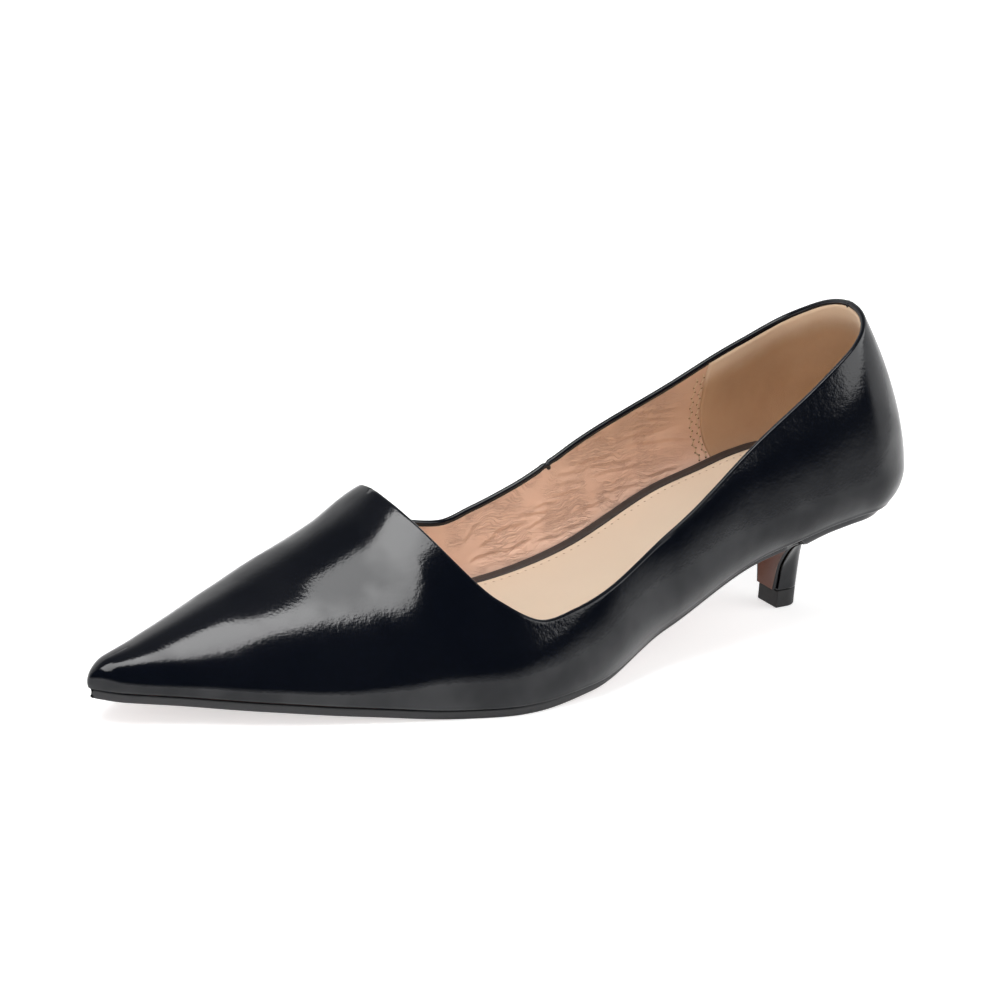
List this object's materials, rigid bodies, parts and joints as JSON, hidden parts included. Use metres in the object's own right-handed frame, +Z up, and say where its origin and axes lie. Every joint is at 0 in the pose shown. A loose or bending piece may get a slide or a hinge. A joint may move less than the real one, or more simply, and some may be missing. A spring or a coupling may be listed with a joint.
{
  "type": "pointed toe pump",
  "caption": "Low-cut black patent pump for the left foot with a pointed toe, a slanted throat and a slim covered kitten heel.",
  "frame": {"origin": "on the top lift's flat face on the floor, midway across it and 5 mm behind its front edge", "axes": "+Z up from the floor, +Y towards the back of the heel (the toe points to -Y), +X towards the outer side of the foot"},
  "size_m": [0.0807, 0.2652, 0.093],
  "materials": {
    "upper": "black patent, high gloss",
    "insole": "dark brown, satin",
    "sock": "beige, matte, padded",
    "outsole": "terracotta brown underside, black edge",
    "heel": "leather cover on a moulded heel, glossy",
    "top_lift": "black, matte"
  },
  "bodies": {
    "root": {"upper": "upper", "insole": "insole", "sock": "sock", "outsole": "outsole", "heel": "heel", "top_lift": "top_lift"}
  },
  "joints": []
}
